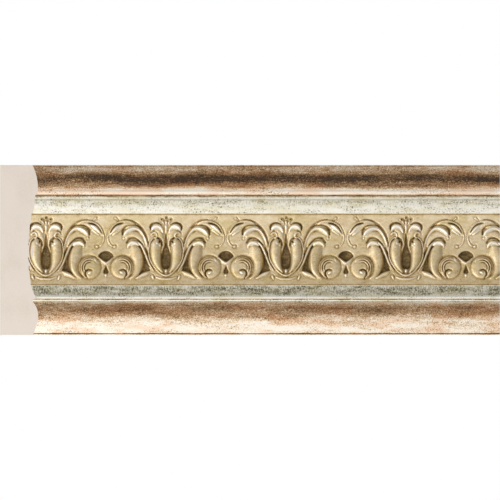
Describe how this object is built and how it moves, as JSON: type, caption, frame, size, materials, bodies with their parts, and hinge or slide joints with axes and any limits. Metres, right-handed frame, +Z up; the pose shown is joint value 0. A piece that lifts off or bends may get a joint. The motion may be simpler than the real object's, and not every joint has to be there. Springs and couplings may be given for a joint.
{
  "type": "decorative moulding",
  "caption": "Length of gilded wall moulding with a carved frieze of tulips and leaf scrolls between two rolls; flat back, one mitred end and one square end.",
  "frame": {"origin": "middle of the flat back, where the moulding is fixed to the wall", "axes": "+X along the moulding towards its square end, +Z up, the dressed front faces -Y"},
  "size_m": [0.25, 0.0191, 0.085],
  "materials": {
    "gilding": "aged pale gold, silver and bronze leaf over a pale core"
  },
  "bodies": {
    "root": {"moulding": "gilding"}
  },
  "joints": []
}
